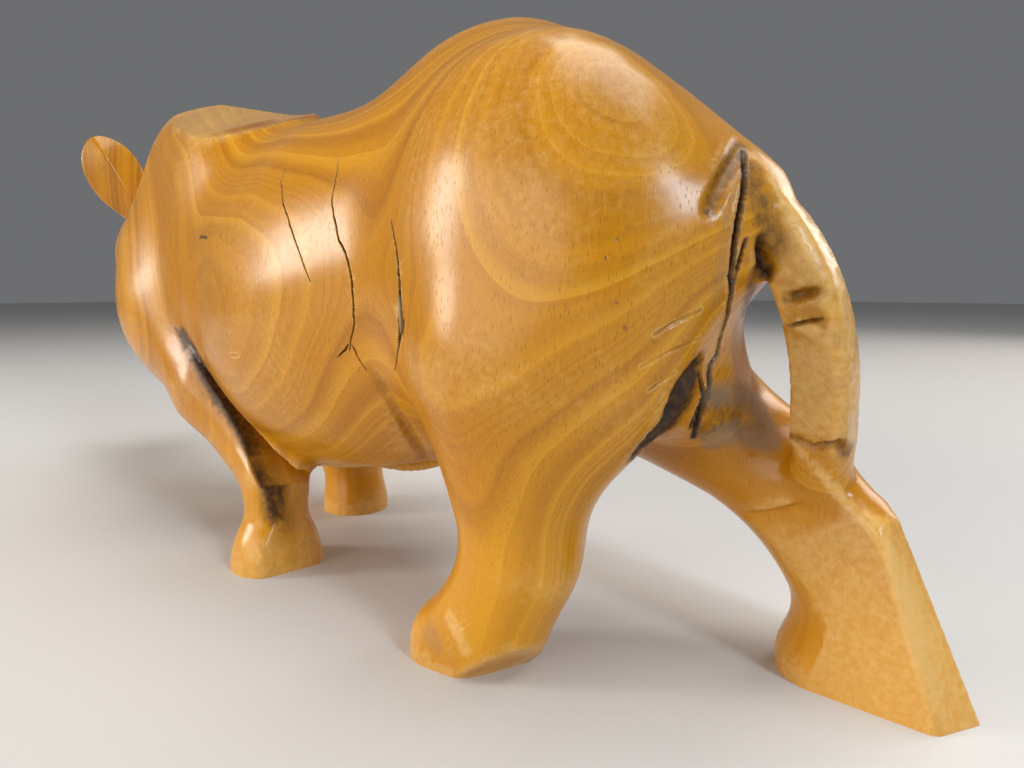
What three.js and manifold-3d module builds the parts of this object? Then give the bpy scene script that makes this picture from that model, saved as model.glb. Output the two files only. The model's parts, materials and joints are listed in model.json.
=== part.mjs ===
// Carved wooden rhinoceros, walking, with its head turned a little to its right.
// One block of wood makes the body. Ears, horns and eyes are carved apart and pegged into the head,
// and a drying check in the left flank is stopped with filler.
// Millimetres, +X towards the head, +Y to the animal's left, +Z up.
// The hind quarters are placed from the root of the tail, on the midline.
import * as THREE from "three";
import { ConvexGeometry } from "three/addons/geometries/ConvexGeometry.js";
import { mergeVertices } from "three/addons/utils/BufferGeometryUtils.js";
import Module from "manifold-3d";

const wasm = await Module();
wasm.setup();

// Heights of the trunk, head and tail are from the barrel's axis. Lengths of the fore quarters and the
// head are from the shoulder. Legs and feet below the hips and arms stand on the ground.
const BARREL_HEIGHT = 56;
const SHOULDER_X = 140;

// Trunk
const RUMP = { x: 38, z: 13.1, length: 64, width: 48, height: 71 };
const CROUP = [{ x: 19, z: 25.8, r: 14.1 }, { x: -2.5, z: 13, r: 11 }];
const SEAT = [{ x: 5, z: 10, r: 9 }, { x: 4, y: -6, z: -11, r: 9 }];
const BACK_START = { x: 50, z: 16, r: 20 };
const BACK_END = { x: -28, z: 15.5, r: 20 };
const BELLY_START = 31;
const BELLY_SHORT_OF_SHOULDER = 11;
const BELLY_WIDTH = 63;
const BELLY_DEPTH = 73;
const SHOULDER = { x: 0, z: 2, length: 54, width: 56, height: 66 };
const WITHERS = [{ x: -24, z: 26, r: 24 }, { x: 0, z: 32.5, r: 19.8 }];
const LEFT_HAUNCH = { x: 18, y: 14, z: 6, length: 50, width: 30, height: 66, yaw: 10 };
const RIGHT_HAUNCH = { x: 25, y: -13, z: 7, length: 40, width: 30, height: 62, yaw: -10 };

// Legs: hip or arm on the trunk, stations down the leg, then the foot
const LEFT_HIP = { x: 21, y: 14.5, z: -8, r: 16 };
const LEFT_HIND_LEG = [
  { x: 20.8, y: 15, z: 32, r: 10.7 },
  { x: 20, y: 15.6, z: 19, r: 8.3 },
  { x: 24.5, y: 16.6, z: 9, r: 9.4 },
];
const LEFT_HIND_FOOT = [{ x: 27, y: 17.6, z: 4.2, r: 8.3 }, { x: 33, y: 18.7, z: 2, r: 7.6 }];
const RIGHT_HIP = { x: 13, y: -14, z: -14, r: 12.5 };
const RIGHT_HIND_LEG = [{ x: -7, y: -17, z: 30, r: 8.3 }, { x: -19.7, y: -17.6, z: 14, r: 9 }];
const RIGHT_HOCK = [
  { x: -13, y: -14, z: 31, r: 5 },
  { x: -20.9, y: -14, z: 21.8, r: 5.8 },
  { x: -27.5, y: -14, z: 5, r: 6.8 },
];
const RIGHT_HIND_FOOT = [{ x: -16.5, y: -18, z: 2, r: 9.6 }, { x: -27, y: -17.5, z: 2, r: 9.6 }];
const LEFT_ARM = { x: 1, y: 14.5, z: -2, r: 15 };
const LEFT_FORE_LEG = [
  { x: -23, y: 16.5, z: 36.5, r: 10.1 },
  { x: -49, y: 17.5, z: 18, r: 6 },
  { x: -49.7, y: 18.2, z: 6, r: 7 },
];
const LEFT_FORE_FOOT = [{ x: -49.7, y: 19.3, z: 1, r: 9.2 }, { x: -49.7, y: 17.3, z: 1, r: 9.2 }];
const RIGHT_ARM = { x: -2, y: -14, z: 0, r: 15 };
const RIGHT_FORE_LEG = [
  { x: -14, y: -16, z: 36, r: 11 },
  { x: -26, y: -18, z: 16, r: 7.5 },
  { x: -28, y: -18, z: 6, r: 7.2 },
];
const RIGHT_FORE_FOOT = [{ x: -28, y: -18, z: 1, r: 8.5 }, { x: -27, y: -18, z: 1, r: 8.5 }];

// Head, in its own frame at the neck: x along the nose, turned to the animal's right
const NECK = [{ x: 6, z: 13, r: 21.5 }, { x: 38, z: 12, r: 15.2 }];
const HEAD_REACH = 28.5;
const HEAD_TURN = 18;
const SKULL = { x: 17, z: 13.4, length: 48, width: 33, height: 38, pitch: 18 };
const BROW = { x: 27, z: 13, length: 18, width: 34, height: 13, pitch: 24 };
const CHEEKS = { x: 22, z: 0, length: 44, width: 29, height: 31, pitch: 20 };
const MUZZLE = [{ x: 30, z: 5, r: 14 }, { x: 52, z: -5, r: 12 }];
const LIP = { x: 56, z: -8.5, length: 22, width: 24.5, height: 23, pitch: 30 };
const JAW = [{ x: 26, z: -10, r: 10 }, { x: 53, z: -16, r: 7.5 }];

// Tail: a faceted strap from the croup down to the right hind leg
const TAIL_PATH = [
  { x: 4, y: 1, z: 18 },
  { x: -6, y: 0, z: 16 },
  { x: -11.5, y: -1, z: 10.5 },
  { x: -15, y: -3, z: 3 },
  { x: -16.3, y: -5.5, z: -6 },
  { x: -15.8, y: -8, z: -15 },
];
const TAIL_END = { x: -14.5, y: -11.5, z: 33 };
const TAIL_WIDTH = 10;
const TAIL_DEPTH = 9;
const TAIL_RINGS = 14;

// A ridged roof pared over the withers, swept up at its rear end
const RIDGE = { x: -7, z: 49.9 };
const RIDGE_RISE = 13;
const ROOF_SLOPE = 22;
const ROOF_FRONT = 46;
const ROOF_BACK = 22;
const ROOF_SWEEP = { length: 36, rise: 8 };
const ROOF_WIDTH = 90;

// Pared flats on the legs: a point on each, the way it faces and its length along the leg
const SHANK_LINE = [0.42, 0, 0.91];
const SHANK_INNER = { x: -22, y: -9.2, z: 14, facing: [0, 1, 0.03], length: 34 };
const SHANK_REAR = { x: -28.6, y: -9.2, z: 12.3, facing: [-0.85, 0.42, 0.31], length: 40 };
const SHANK_KEEL = { x: -30.5, y: -15.9, z: 12.9, facing: [-0.78, -0.5, 0.37], length: 40 };
const LEFT_HEEL = { x: 22, y: 17, z: 0.3, facing: [-0.64, 0.25, -0.73], length: 24 };
const LEFT_FORE_BACK = { x: -56.2, y: 18, z: 6, facing: [-0.98, 0.05, 0.17], length: 30 };
const FLAT_WIDTH = 40;
const HOCK_LINE = [0.72, 0, 0.69];
const HOCK_TOP = { x: -20, y: -9.4, z: 29.2, facing: [-0.53, 0.64, 0.56], length: 26 };
const HOCK_WIDTH = 20;

// V cuts that part each fore leg from the belly: the tip on the trunk, then the leg, root and belly
// corners of the mouth
const LEFT_ELBOW_TIP = { x: -20, y: 27, z: -4 };
const LEFT_ELBOW = [{ x: -56, y: 33, z: 14.5 }, { x: -56, y: 9, z: 17 }, { x: -57, y: 33, z: 30 }];
const RIGHT_ELBOW_TIP = { x: -8, y: -28, z: -6 };
const RIGHT_ELBOW = [{ x: -36, y: -33, z: 16 }, { x: -36, y: -9, z: 18 }, { x: -38, y: -33, z: 31 }];

// Ears, leaf-shaped with a ridge down the back and a scooped front
const EAR_X = 8.5;
const EAR_SPREAD = 12;
const EAR_HEIGHT = 14;
const EAR_LEAN = 27;
const EAR_LENGTH = 22;
const EAR_WIDTH = 15;
const EAR_WIDEST = 0.5;
const EAR_RIDGE = 3.6;
const EAR_RIM = 1.2;
const EAR_SCOOP = 2.2;
const EAR_PEG_DIAMETER = 4.4;
const EAR_PEG_LENGTH = 8;

// Horns, round and tapering, bent back towards the tip
const FRONT_HORN = { x: 51, z: -3, lean: 26, length: 30, diameter: 15, bend: 7 };
const REAR_HORN = { x: 37, z: 4, lean: 22, length: 13, diameter: 11, bend: 2 };
const HORN_TAPER = 0.8;
const HORN_TIP = 0.9;
const HORN_PEG_DIAMETER = 5;
const HORN_PEG_LENGTH = 8;

// Eyes, round pegs with a domed end
const EYE = { x: 31, z: 8 };
const EYE_FORWARD = 20;
const EYE_UP = 20;
const EYE_DIAMETER = 4.6;
const EYE_DOME = 1.2;
const EYE_PEG_LENGTH = 5;

// Drying check in the left flank, and the filler in its lower part
const CHECK = { x: 33, z: 4 };
const CHECK_LENGTH = 20;
const CHECK_WIDTH = 1.3;
const CHECK_DEPTH = 4;
const FILLER_LENGTH = 6;
const FILLER_DROP = 4;

// Clearance between a pegged piece and the wood around it
const SEAT_GAP = 0.3;

// Spacing of the carved surface's mesh along each axis: [from, to, step]
const GRID = {
  x: [[-48, 4, 3], [4, SHOULDER_X + 26, 4.3], [SHOULDER_X + 26, SHOULDER_X + 100, 3.5]],
  y: [[-44, 44, 3.8]],
  z: [[-16, 40, 3.6], [40, BARREL_HEIGHT + 68, 4.2]],
};
const RELAX_PASSES = 4;
const ROUND_SIDES = 20;
const OUTSIDE = 40;
const HAIR = 0.02;

const radians = THREE.MathUtils.degToRad;
const vector = ({ x, y = 0, z }) => new THREE.Vector3(x, y, z);
const lifted = (place) => ({ ...place, z: place.z + BARREL_HEIGHT });
const forward = (place) => ({ ...place, x: place.x + SHOULDER_X });
const fore = (place) => lifted(forward(place));

// Two distances joined with a fillet
function smoothUnion(a, b, fillet) {
  const overlap = Math.max(fillet - Math.abs(a - b), 0) / fillet;
  return Math.min(a, b) - (overlap * overlap * fillet) / 4;
}

function ellipsoid({ x, y = 0, z, length, width, height, yaw = 0, pitch = 0 }) {
  const turn = new THREE.Euler(0, radians(pitch), radians(yaw), "ZYX");
  const inverse = new THREE.Matrix4().makeRotationFromEuler(turn).setPosition(x, y, z).invert();
  const radii = new THREE.Vector3(length / 2, width / 2, height / 2);
  const local = new THREE.Vector3();
  return (p) => {
    local.copy(p).applyMatrix4(inverse).divide(radii);
    const reach = local.length();
    const slope = local.divide(radii).length();
    return slope < 1e-9 ? -radii.y : (reach * (reach - 1)) / slope;
  };
}

// Distance to a cone with round ends
function roundCone(p, a, ra, b, rb) {
  const axis = { x: b.x - a.x, y: b.y - a.y, z: b.z - a.z };
  const l2 = axis.x ** 2 + axis.y ** 2 + axis.z ** 2;
  const rr = ra - rb;
  const a2 = l2 - rr * rr;
  const px = p.x - a.x;
  const py = p.y - a.y;
  const pz = p.z - a.z;
  const y = px * axis.x + py * axis.y + pz * axis.z;
  const z = y - l2;
  const x2 = (px * l2 - axis.x * y) ** 2 + (py * l2 - axis.y * y) ** 2 + (pz * l2 - axis.z * y) ** 2;
  const y2 = y * y * l2;
  const z2 = z * z * l2;
  const k = Math.sign(rr) * rr * rr * x2;
  if (Math.sign(z) * a2 * z2 > k) return Math.sqrt(x2 + z2) / l2 - rb;
  if (Math.sign(y) * a2 * y2 < k) return Math.sqrt(x2 + y2) / l2 - ra;
  return (Math.sqrt((x2 * a2) / l2) + y * rr) / l2 - ra;
}

// A chain of round cones from station to station
function limb(stations) {
  const joinFillet = 5;
  const points = stations.map(vector);
  return (p) => {
    let d = Infinity;
    for (let i = 1; i < points.length; i++) {
      const cone = roundCone(p, points[i - 1], stations[i - 1].r, points[i], stations[i].r);
      d = i === 1 ? cone : smoothUnion(d, cone, joinFillet);
    }
    return d;
  };
}

const headFrame = new THREE.Matrix4()
  .makeRotationZ(-radians(HEAD_TURN))
  .setPosition(SHOULDER_X + HEAD_REACH, 0, BARREL_HEIGHT);

function onHead(field) {
  const inverse = headFrame.clone().invert();
  const local = new THREE.Vector3();
  return (p) => field(local.copy(p).applyMatrix4(inverse));
}

function belly() {
  const end = SHOULDER_X - BELLY_SHORT_OF_SHOULDER;
  const length = end - BELLY_START;
  return lifted({ x: (BELLY_START + end) / 2, z: 0, length, width: BELLY_WIDTH, height: BELLY_DEPTH });
}

// The masses of the figure, each with the fillet that joins it to those before it
const masses = [
  [ellipsoid(lifted(RUMP)), 0],
  [limb(CROUP.map(lifted)), 6],
  [limb([lifted(BACK_START), fore(BACK_END)]), 10],
  [limb(SEAT.map(lifted)), 6],
  [ellipsoid(belly()), 14],
  [ellipsoid(fore(SHOULDER)), 16],
  [limb(WITHERS.map(fore)), 8],
  [ellipsoid(lifted(LEFT_HAUNCH)), 10],
  [ellipsoid(lifted(RIGHT_HAUNCH)), 8],
  [limb([lifted(LEFT_HIP), ...LEFT_HIND_LEG]), 6],
  [limb(LEFT_HIND_FOOT), 4],
  [limb([lifted(RIGHT_HIP), ...RIGHT_HIND_LEG]), 5],
  [limb(RIGHT_HOCK), 4],
  [limb(RIGHT_HIND_FOOT), 5],
  [limb([fore(LEFT_ARM), ...LEFT_FORE_LEG.map(forward)]), 4],
  [limb(LEFT_FORE_FOOT.map(forward)), 4],
  [limb([fore(RIGHT_ARM), ...RIGHT_FORE_LEG.map(forward)]), 4],
  [limb(RIGHT_FORE_FOOT.map(forward)), 4],
  [limb(NECK.map(fore)), 12],
  [onHead(ellipsoid(SKULL)), 8],
  [onHead(ellipsoid(BROW)), 6],
  [onHead(ellipsoid(CHEEKS)), 6],
  [onHead(limb(MUZZLE)), 6],
  [onHead(ellipsoid(LIP)), 7],
  [onHead(limb(JAW)), 4],
];

function figure(p) {
  let d = masses[0][0](p);
  for (const [mass, fillet] of masses.slice(1)) d = smoothUnion(d, mass(p), fillet);
  return d;
}

// Grid lines over stretches of even spacing
function gridLines(stretches) {
  const lines = [stretches[0][0]];
  for (const [from, to, step] of stretches) {
    const count = Math.ceil((to - from) / step);
    for (let i = 1; i <= count; i++) lines.push(from + ((to - from) * i) / count);
  }
  return lines;
}

function slopeAt(field, p) {
  const step = 0.05;
  const here = field(p);
  const probe = new THREE.Vector3();
  const slope = ["x", "y", "z"].map((axis) => {
    probe.copy(p)[axis] += step;
    return (field(probe) - here) / step;
  });
  return new THREE.Vector3(...slope);
}

// Moves a point along the field's slope onto its surface
function settle(field, p, reach) {
  for (let pass = 0; pass < 3; pass++) {
    const slope = slopeAt(field, p);
    const move = -field(p) / Math.max(slope.lengthSq(), 0.1);
    p.addScaledVector(slope, THREE.MathUtils.clamp(move, -reach, reach));
  }
  return p;
}

// Where the corners of a grid face alternate between wood and air, the one nearest the skin becomes wood
function fillPinches(value, nx, ny) {
  const strides = [1, nx, nx * ny];
  const pairs = [[0, 1], [0, 2], [1, 2]].map(([u, v]) => [strides[u], strides[v]]);
  let pinches;
  do {
    pinches = 0;
    for (let a = 0; a + strides[1] + strides[2] < value.length; a++) {
      for (const [u, v] of pairs) {
        const corners = [a, a + u, a + u + v, a + v];
        const inside = corners.map((c) => value[c] < 0);
        if (inside[0] !== inside[2] || inside[1] !== inside[3] || inside[0] === inside[1]) continue;
        const [b, d] = corners.filter((c) => value[c] >= 0);
        value[value[b] < value[d] ? b : d] = -HAIR;
        pinches++;
      }
    }
  } while (pinches);
}

// Closed mesh of the surface where a field is zero, with one vertex in each grid cell it crosses
function skin(field, grid) {
  const xs = gridLines(grid.x);
  const ys = gridLines(grid.y);
  const zs = gridLines(grid.z);
  const [nx, ny, nz] = [xs.length, ys.length, zs.length];
  const at = (i, j, k) => (k * ny + j) * nx + i;
  const value = new Float32Array(nx * ny * nz);
  const p = new THREE.Vector3();
  for (let k = 0; k < nz; k++) {
    for (let j = 0; j < ny; j++) {
      for (let i = 0; i < nx; i++) value[at(i, j, k)] = field(p.set(xs[i], ys[j], zs[k]));
    }
  }
  fillPinches(value, nx, ny);
  const corners = [0, 1, 2, 3, 4, 5, 6, 7].map((c) => [c & 1, (c >> 1) & 1, c >> 2]);
  const edges = [];
  for (const a of corners.keys()) {
    for (const bit of [1, 2, 4]) if (!(a & bit)) edges.push([a, a | bit]);
  }
  const vertexOf = new Int32Array(nx * ny * nz).fill(-1);
  const positions = [];
  for (let k = 0; k < nz - 1; k++) {
    for (let j = 0; j < ny - 1; j++) {
      for (let i = 0; i < nx - 1; i++) {
        const v = corners.map(([a, b, c]) => value[at(i + a, j + b, k + c)]);
        const crossings = edges.filter(([a, b]) => v[a] < 0 !== v[b] < 0);
        if (!crossings.length) continue;
        const place = corners.map(([a, b, c]) => new THREE.Vector3(xs[i + a], ys[j + b], zs[k + c]));
        p.set(0, 0, 0);
        for (const [a, b] of crossings) p.add(place[a].clone().lerp(place[b], v[a] / (v[a] - v[b])));
        settle(field, p.divideScalar(crossings.length), (xs[i + 1] - xs[i]) / 2);
        vertexOf[at(i, j, k)] = positions.length / 3;
        positions.push(p.x, p.y, p.z);
      }
    }
  }
  const index = [];
  const quad = (cells, inside) => {
    const [a, b, c, d] = cells.map(([i, j, k]) => vertexOf[at(i, j, k)]);
    index.push(...(inside ? [a, b, c, a, c, d] : [a, c, b, a, d, c]));
  };
  for (let k = 1; k < nz - 1; k++) {
    for (let j = 1; j < ny - 1; j++) {
      for (let i = 1; i < nx - 1; i++) {
        const inside = value[at(i, j, k)] < 0;
        if (inside !== value[at(i + 1, j, k)] < 0)
          quad([[i, j - 1, k - 1], [i, j, k - 1], [i, j, k], [i, j - 1, k]], inside);
        if (inside !== value[at(i, j + 1, k)] < 0)
          quad([[i - 1, j, k - 1], [i - 1, j, k], [i, j, k], [i, j, k - 1]], inside);
        if (inside !== value[at(i, j, k + 1)] < 0)
          quad([[i - 1, j - 1, k], [i, j - 1, k], [i, j, k], [i - 1, j, k]], inside);
      }
    }
  }
  const geometry = new THREE.BufferGeometry();
  geometry.setAttribute("position", new THREE.Float32BufferAttribute(positions, 3));
  geometry.setIndex(index);
  return relax(geometry, field);
}

// Evens out a mesh: each vertex moves towards the middle of its neighbours, then back onto the surface
function relax(geometry, field) {
  const { position } = geometry.attributes;
  const triangles = geometry.index.array;
  const neighbours = Array.from({ length: position.count }, () => new Set());
  for (let t = 0; t < triangles.length; t += 3) {
    for (let c = 0; c < 3; c++) {
      const a = triangles[t + c];
      const b = triangles[t + ((c + 1) % 3)];
      neighbours[a].add(b);
      neighbours[b].add(a);
    }
  }
  const hold = 0.4;
  const reach = 2;
  const q = new THREE.Vector3();
  for (let pass = 0; pass < RELAX_PASSES; pass++) {
    const middles = neighbours.map((ring) => {
      const middle = new THREE.Vector3();
      for (const n of ring) middle.add(q.fromBufferAttribute(position, n));
      return middle.divideScalar(ring.size);
    });
    middles.forEach((middle, i) => {
      middle.lerp(q.fromBufferAttribute(position, i), hold);
      position.setXYZ(i, ...settle(field, middle, reach).toArray());
    });
  }
  return geometry;
}

// Closed mesh through rings of points, with a fan over each end
function loft(rings) {
  const sides = rings[0].length;
  const index = [];
  for (let r = 0; r + 1 < rings.length; r++) {
    for (let s = 0; s < sides; s++) {
      const a = r * sides + s;
      const b = r * sides + ((s + 1) % sides);
      index.push(a, b, b + sides, a, b + sides, a + sides);
    }
  }
  const last = (rings.length - 1) * sides;
  for (let s = 1; s + 1 < sides; s++) index.push(0, s + 1, s, last, last + s, last + s + 1);
  const geometry = new THREE.BufferGeometry().setFromPoints(rings.flat());
  geometry.setIndex(index);
  return geometry;
}

function toSolid(geometry) {
  const bare = geometry.clone();
  bare.deleteAttribute("normal");
  bare.deleteAttribute("uv");
  const { attributes, index } = mergeVertices(bare);
  const vertProperties = new Float32Array(attributes.position.array);
  const triVerts = new Uint32Array(index.array);
  return new wasm.Manifold(new wasm.Mesh({ numProp: 3, vertProperties, triVerts }));
}

// Vertices closer than a hair become one, and the triangles that collapse with them go
function toGeometry(solid) {
  const { vertProperties, triVerts } = solid.getMesh();
  const raw = new THREE.BufferGeometry();
  raw.setAttribute("position", new THREE.BufferAttribute(vertProperties, 3));
  raw.setIndex(new THREE.BufferAttribute(triVerts, 1));
  const geometry = mergeVertices(raw, HAIR);
  const corners = geometry.index.array;
  const kept = [];
  for (let t = 0; t < corners.length; t += 3) {
    const triangle = corners.slice(t, t + 3);
    if (new Set(triangle).size === 3) kept.push(...triangle);
  }
  geometry.setIndex(kept);
  return geometry;
}

// A frame at a point: z along one direction, x as near as it goes to another
function frameAt(point, along, towards) {
  const z = along.clone().normalize();
  const y = z.clone().cross(towards).normalize();
  return new THREE.Matrix4().makeBasis(y.clone().cross(z), y, z).setPosition(point);
}

// A block standing on a plane, for paring the wood above it
function paringBlock({ at, normal, along, length, width }) {
  const block = new THREE.BoxGeometry(length, width, OUTSIDE).translate(0, 0, OUTSIDE / 2);
  return toSolid(block.applyMatrix4(frameAt(vector(at), normal, along)));
}

function roundPeg(frame, diameter, from, to) {
  const peg = new THREE.CylinderGeometry(diameter / 2, diameter / 2, to - from, ROUND_SIDES);
  return toSolid(peg.rotateX(Math.PI / 2).translate(0, 0, (from + to) / 2).applyMatrix4(frame));
}

// The point where a line leaves the figure
function surfaceAlong(from, direction) {
  let inside = 0;
  let outside = OUTSIDE;
  for (let halving = 0; halving < 40; halving++) {
    const middle = (inside + outside) / 2;
    if (figure(from.clone().addScaledVector(direction, middle)) < 0) inside = middle;
    else outside = middle;
  }
  return from.clone().addScaledVector(direction, inside);
}

// A line in the head's frame becomes a frame on the head's skin
function headSeat(point, direction) {
  const from = vector(point).applyMatrix4(headFrame);
  const along = direction.clone().transformDirection(headFrame);
  const forward = new THREE.Vector3(1, 0, 0).transformDirection(headFrame);
  return frameAt(surfaceAlong(from, along), along, forward);
}

function tailSolid() {
  const curve = new THREE.CatmullRomCurve3([...TAIL_PATH.map(lifted), TAIL_END].map(vector));
  // Shares of the depth, outwards, and of the width, to the left
  const inner = [[-0.32, 0.44], [-0.44, 0], [-0.32, -0.42]];
  const outer = [[0.24, -0.48], [0.46, -0.22], [0.5, 0.3], [0.36, 0.46]];
  const section = [...inner, ...outer];
  const rings = [];
  for (let i = 0; i <= TAIL_RINGS; i++) {
    const centre = curve.getPoint(i / TAIL_RINGS);
    const down = curve.getTangent(i / TAIL_RINGS);
    const left = new THREE.Vector3(0, 1, 0).addScaledVector(down, -down.y).normalize();
    const out = left.clone().cross(down);
    rings.push(section.map(([o, l]) => centre.clone()
      .addScaledVector(out, o * TAIL_DEPTH)
      .addScaledVector(left, l * TAIL_WIDTH)));
  }
  return toSolid(loft(rings));
}

// Each side of the roof is flat, and sweeps up out of the back at its rear end
function roofBlocks() {
  const rise = radians(RIDGE_RISE);
  const slope = radians(ROOF_SLOPE);
  const along = new THREE.Vector3(Math.cos(rise), 0, Math.sin(rise));
  const end = -ROOF_BACK - ROOF_SWEEP.length;
  const profile = new THREE.Shape()
    .moveTo(ROOF_FRONT, 0)
    .lineTo(ROOF_FRONT, OUTSIDE)
    .lineTo(end, OUTSIDE)
    .lineTo(end, ROOF_SWEEP.rise)
    .quadraticCurveTo(-ROOF_BACK - ROOF_SWEEP.length / 2, 0, -ROOF_BACK, 0);
  const sweep = { depth: ROOF_WIDTH, bevelEnabled: false, curveSegments: 8 };
  return [1, -1].map((side) => {
    const down = new THREE.Vector3(0, side * Math.cos(slope), -Math.sin(slope));
    const normal = along.clone().cross(down).multiplyScalar(side);
    const block = new THREE.ExtrudeGeometry(profile, sweep).rotateX(Math.PI / 2);
    block.translate(0, ROOF_WIDTH / 2, 0).applyMatrix4(frameAt(vector(fore(RIDGE)), normal, along));
    return toSolid(block);
  });
}

function legFlats() {
  const flat = (at, line, width) => {
    const normal = new THREE.Vector3(...at.facing);
    return paringBlock({ at, normal, along: new THREE.Vector3(...line), length: at.length, width });
  };
  const shanks = [SHANK_INNER, SHANK_REAR, SHANK_KEEL, LEFT_HEEL, forward(LEFT_FORE_BACK)];
  return [...shanks.map((at) => flat(at, SHANK_LINE, FLAT_WIDTH)), flat(HOCK_TOP, HOCK_LINE, HOCK_WIDTH)];
}

function elbowWedges() {
  return [[LEFT_ELBOW_TIP, LEFT_ELBOW], [RIGHT_ELBOW_TIP, RIGHT_ELBOW]].map(([tip, mouth]) => {
    return toSolid(new ConvexGeometry([fore(tip), ...mouth.map(forward)].map(vector)));
  });
}

function groundBlock() {
  const size = 2 * (SHOULDER_X + HEAD_REACH + OUTSIDE);
  return toSolid(new THREE.BoxGeometry(2 * size, size, OUTSIDE).translate(0, 0, -OUTSIDE / 2));
}

// The block as carved, before anything is bored for the pegged pieces
function carvedBlock() {
  const cuts = [groundBlock(), ...roofBlocks(), ...legFlats(), ...elbowWedges()];
  return cuts.reduce((block, cut) => block.subtract(cut), toSolid(skin(figure, GRID))).add(tailSolid());
}

// The base is thick enough to hold the peg, and the scoop deepens above it
function earForm() {
  const buried = -0.3;
  const tip = 0.985;
  const scoopStart = 0.12;
  const baseSpan = 1.2 * EAR_WIDEST;
  const steps = 10;
  const rings = [];
  for (let i = 0; i <= steps; i++) {
    const t = buried + (tip - buried) * (i / steps);
    const span = t < EAR_WIDEST ? baseSpan : 1 - EAR_WIDEST;
    const share = Math.sqrt(1 - ((Math.max(t, 0) - EAR_WIDEST) / span) ** 2);
    const thick = t < EAR_WIDEST ? 1 : share;
    const scoop = EAR_SCOOP * THREE.MathUtils.smoothstep(t, scoopStart, EAR_WIDEST);
    const back = [1, 0.5, 0, -0.5, -1].map((u) => [-EAR_RIM - EAR_RIDGE * (1 - Math.abs(u)), u]);
    const front = [-1, -0.5, 0, 0.5, 1].map((u) => [EAR_RIM - scoop * (1 - u * u), u]);
    rings.push([...back, ...front].map(([x, u]) => new THREE.Vector3(
      thick * (x + EAR_RIDGE / 2), u * share * (EAR_WIDTH / 2), t * EAR_LENGTH)));
  }
  return loft(rings);
}

function hornForm({ length, diameter, bend }) {
  const rootDepth = 6;
  const buried = rootDepth / length;
  const steps = 10;
  const sides = Array.from({ length: ROUND_SIDES }, (_, s) => (2 * Math.PI * s) / ROUND_SIDES);
  const rings = [];
  for (let i = 0; i <= steps; i++) {
    const t = -buried + (1 + buried) * (i / steps);
    const radius = Math.max((diameter / 2) * (1 - Math.max(t, 0)) ** HORN_TAPER, HORN_TIP);
    const drift = -bend * t * t;
    const ring = sides.map((a) => [drift + radius * Math.cos(a), radius * Math.sin(a), t * length]);
    rings.push(ring.map((point) => new THREE.Vector3(...point)));
  }
  return loft(rings);
}

// A form trimmed to the head's skin, with a round peg below it and the socket that takes the peg
function pegged(form, frame, diameter, length, grownHead) {
  const overlap = 3;
  const solid = toSolid(form.applyMatrix4(frame))
    .subtract(grownHead)
    .add(roundPeg(frame, diameter, -length, overlap));
  const socket = roundPeg(frame, diameter + 2 * SEAT_GAP, -length - SEAT_GAP, OUTSIDE);
  return { solid, socket };
}

function eyePiece(side) {
  const direction = new THREE.Vector3(Math.tan(radians(EYE_FORWARD)), side, Math.tan(radians(EYE_UP)));
  const frame = headSeat(EYE, direction);
  const radius = EYE_DIAMETER / 2;
  const profile = [new THREE.Vector2(0, -EYE_PEG_LENGTH), new THREE.Vector2(radius, -EYE_PEG_LENGTH)];
  const steps = 4;
  for (let i = 0; i < steps; i++) {
    const angle = (Math.PI / 2) * (i / steps);
    profile.push(new THREE.Vector2(radius * Math.cos(angle), EYE_DOME * Math.sin(angle)));
  }
  profile.push(new THREE.Vector2(0, EYE_DOME));
  const form = new THREE.LatheGeometry(profile, ROUND_SIDES).rotateX(Math.PI / 2).applyMatrix4(frame);
  const socket = roundPeg(frame, EYE_DIAMETER + 2 * SEAT_GAP, -EYE_PEG_LENGTH - SEAT_GAP, OUTSIDE);
  return { solid: toSolid(form), socket };
}

// A lens-shaped prism along the surface's normal, its length upright
function lensPrism(frame, length, width, depth) {
  const shape = new THREE.Shape()
    .moveTo(0, -length / 2)
    .quadraticCurveTo(width, 0, 0, length / 2)
    .quadraticCurveTo(-width, 0, 0, -length / 2);
  const extrusion = { depth: depth + OUTSIDE / 2, bevelEnabled: false, curveSegments: 8 };
  return toSolid(new THREE.ExtrudeGeometry(shape, extrusion).translate(0, 0, -depth).applyMatrix4(frame));
}

function flankCheck(block) {
  const seat = surfaceAlong(vector(lifted(CHECK)), new THREE.Vector3(0, 1, 0));
  const normal = slopeAt(figure, seat).setZ(0);
  const up = new THREE.Vector3(0, 0, 1);
  const sideways = up.clone().cross(normal);
  const slot = lensPrism(frameAt(seat, normal, sideways), CHECK_LENGTH, CHECK_WIDTH, CHECK_DEPTH);
  const low = frameAt(seat.clone().addScaledVector(up, -FILLER_DROP), normal, sideways);
  const stopping = lensPrism(low, FILLER_LENGTH, CHECK_WIDTH - 2 * SEAT_GAP, CHECK_DEPTH - SEAT_GAP);
  return { slot, filler: stopping.intersect(block) };
}

const block = carvedBlock();
const grownHead = toSolid(skin((p) => figure(p) - SEAT_GAP, GRID));

function ear(side) {
  const lean = radians(EAR_LEAN);
  const axis = new THREE.Vector3(0, side * Math.sin(lean), Math.cos(lean));
  const seat = headSeat({ x: EAR_X, y: (side * EAR_SPREAD) / 2, z: EAR_HEIGHT }, axis);
  return pegged(earForm(), seat, EAR_PEG_DIAMETER, EAR_PEG_LENGTH, grownHead);
}

function horn(size) {
  const lean = radians(size.lean);
  const seat = headSeat(size, new THREE.Vector3(Math.sin(lean), 0, Math.cos(lean)));
  return pegged(hornForm(size), seat, HORN_PEG_DIAMETER, HORN_PEG_LENGTH, grownHead);
}

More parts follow.
